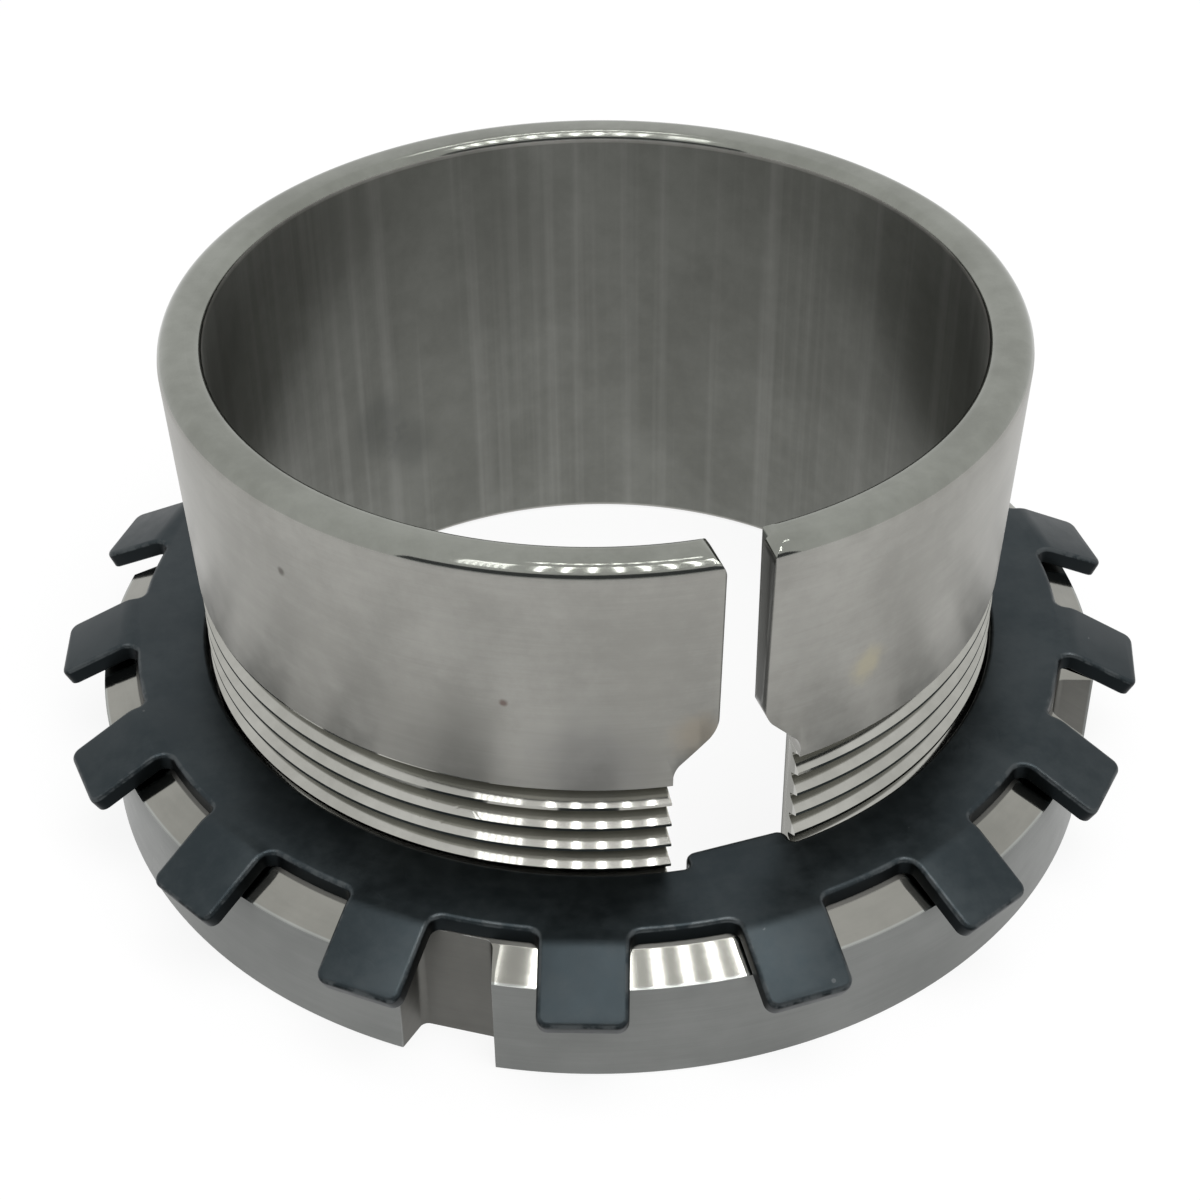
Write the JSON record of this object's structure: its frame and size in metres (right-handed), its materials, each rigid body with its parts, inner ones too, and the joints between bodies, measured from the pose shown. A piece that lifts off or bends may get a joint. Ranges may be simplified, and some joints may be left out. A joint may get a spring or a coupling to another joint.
{
  "type": "bearing adapter sleeve",
  "caption": "Slit tapered adapter sleeve that clamps a bearing's tapered bore to a plain shaft, with a toothed lock washer and a slotted lock nut.",
  "frame": {"origin": "on the sleeve's axis at its threaded end, which the part stands on", "axes": "+Z along the axis towards the sleeve's large end; the slit and the keyway are on the -Y side"},
  "size_m": [0.0901, 0.0899, 0.04],
  "materials": {
    "ground_steel": "ground, with fine lines around the axis",
    "turned_steel": "turned, satin",
    "blackened_steel": "blackened sheet steel, satin"
  },
  "bodies": {
    "sleeve": {"adapter_sleeve": "ground_steel"},
    "washer": {"lock_washer": "blackened_steel"},
    "nut": {"lock_nut": "turned_steel"}
  },
  "joints": [
    {"name": "washer_slide", "type": "slide", "parent": "sleeve", "child": "washer", "axis": [0, 0, 1], "range_m": [0, 0.0088]},
    {"name": "nut_turn", "type": "hinge", "parent": "washer", "child": "nut", "pos_m": [0, 0, 0], "axis": [0, 0, 1], "range_deg": [0, 1584]}
  ],
  "couplings": [
    {"joint": "washer_slide", "follows": "nut_turn", "m_per_rad": 0.00031831}
  ]
}
